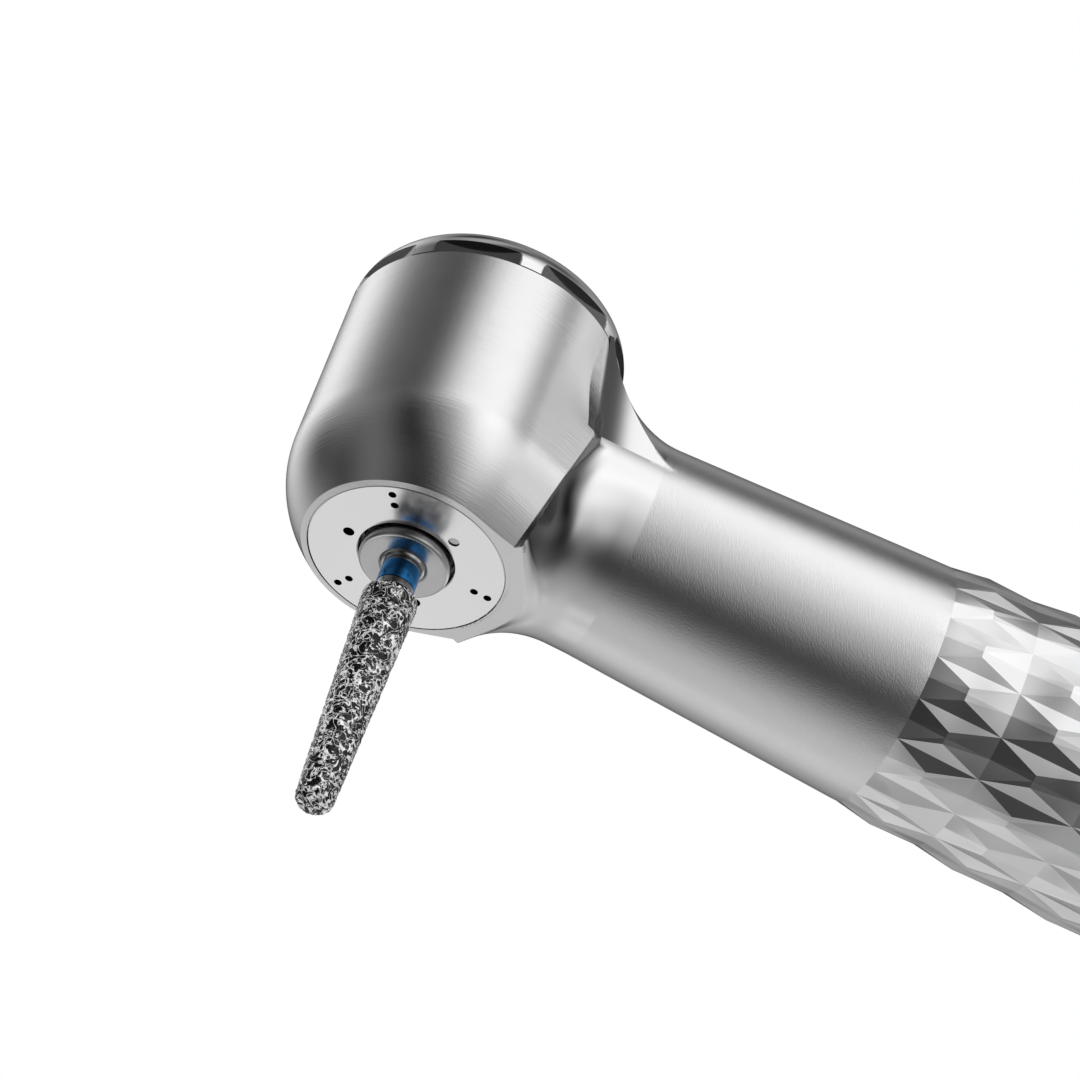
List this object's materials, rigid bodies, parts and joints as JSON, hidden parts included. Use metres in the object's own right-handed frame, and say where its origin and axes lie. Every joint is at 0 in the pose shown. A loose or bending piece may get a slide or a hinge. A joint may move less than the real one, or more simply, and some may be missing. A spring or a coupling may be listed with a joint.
{
  "type": "dental turbine handpiece",
  "caption": "Push-button dental air turbine with a round head, straight diamond-cut steel handle, ball-bearing rotor, removable diamond bur and rear hose connector.",
  "frame": {"origin": "centre of the hose connector's flat rear face, on the handle axis", "axes": "+X along the handle axis from the connector to the head, +Z from the bur to the push button"},
  "size_m": [0.116, 0.0128, 0.0279],
  "materials": {
    "satin_steel": "satin",
    "polished_steel": "mirror polished",
    "bearing_steel": "ground",
    "anodised_alloy": "anodised",
    "ceramic": "polished",
    "cage_polymer": "matte",
    "seal_rubber": "matte",
    "blue_enamel": "gloss",
    "diamond_grit": "coarse diamond coating in nickel"
  },
  "bodies": {
    "handle": {"body_shell": "satin_steel", "spray_face_plate": "polished_steel", "back_cap": "polished_steel", "preload_washer": "bearing_steel", "front_bearing_outer_ring": "bearing_steel", "rear_bearing_outer_ring": "bearing_steel", "front_bearing_oring": "seal_rubber", "rear_bearing_oring": "seal_rubber", "connector_block": "satin_steel", "rear_ring": "polished_steel", "drive_air_tube": "bearing_steel", "exhaust_tube": "bearing_steel", "water_tube": "bearing_steel", "chip_air_tube": "bearing_steel", "button_spring": "bearing_steel"},
    "rotor": {"spindle": "bearing_steel", "impeller": "anodised_alloy", "chuck_collet": "bearing_steel", "nose_disc": "satin_steel", "front_bearing_inner_ring": "bearing_steel", "rear_bearing_inner_ring": "bearing_steel"},
    "front_ball_train": {"front_bearing_cage": "cage_polymer", "front_bearing_ball_1": "ceramic", "front_bearing_ball_2": "ceramic", "front_bearing_ball_3": "ceramic", "front_bearing_ball_4": "ceramic", "front_bearing_ball_5": "ceramic", "front_bearing_ball_6": "ceramic", "front_bearing_ball_7": "ceramic"},
    "rear_ball_train": {"rear_bearing_cage": "cage_polymer", "rear_bearing_ball_1": "ceramic", "rear_bearing_ball_2": "ceramic", "rear_bearing_ball_3": "ceramic", "rear_bearing_ball_4": "ceramic", "rear_bearing_ball_5": "ceramic", "rear_bearing_ball_6": "ceramic", "rear_bearing_ball_7": "ceramic"},
    "button": {"push_button": "polished_steel", "release_pin": "bearing_steel"},
    "pusher": {"chuck_pusher": "bearing_steel"},
    "bur": {"bur_shank": "bearing_steel", "bur_colour_band": "blue_enamel", "bur_diamond_head": "diamond_grit"}
  },
  "joints": [
    {"name": "rotor_spin", "type": "hinge", "parent": "handle", "child": "rotor", "pos_m": [0.11, 0, 0], "axis": [0, 0, 1], "continuous": true},
    {"name": "front_train_spin", "type": "hinge", "parent": "handle", "child": "front_ball_train", "pos_m": [0.11, 0, 0], "axis": [0, 0, 1], "continuous": true},
    {"name": "rear_train_spin", "type": "hinge", "parent": "handle", "child": "rear_ball_train", "pos_m": [0.11, 0, 0], "axis": [0, 0, 1], "continuous": true},
    {"name": "button_press", "type": "slide", "parent": "handle", "child": "button", "axis": [0, 0, -1], "range_m": [0, 0.0006], "stiffness_N_per_m": 4000, "springref_m": -0.0012, "deforming": ["button_spring"]},
    {"name": "chuck_release", "type": "slide", "parent": "rotor", "child": "pusher", "axis": [0, 0, -1], "range_m": [0, 0.0003]},
    {"name": "bur_pull", "type": "slide", "parent": "rotor", "child": "bur", "axis": [0, 0, -1], "range_m": [0, 0.0095]}
  ],
  "couplings": [
    {"joint": "front_train_spin", "follows": "rotor_spin", "ratio": 0.395},
    {"joint": "rear_train_spin", "follows": "rotor_spin", "ratio": 0.395},
    {"joint": "chuck_release", "follows": "button_press", "ratio": 0.5}
  ]
}
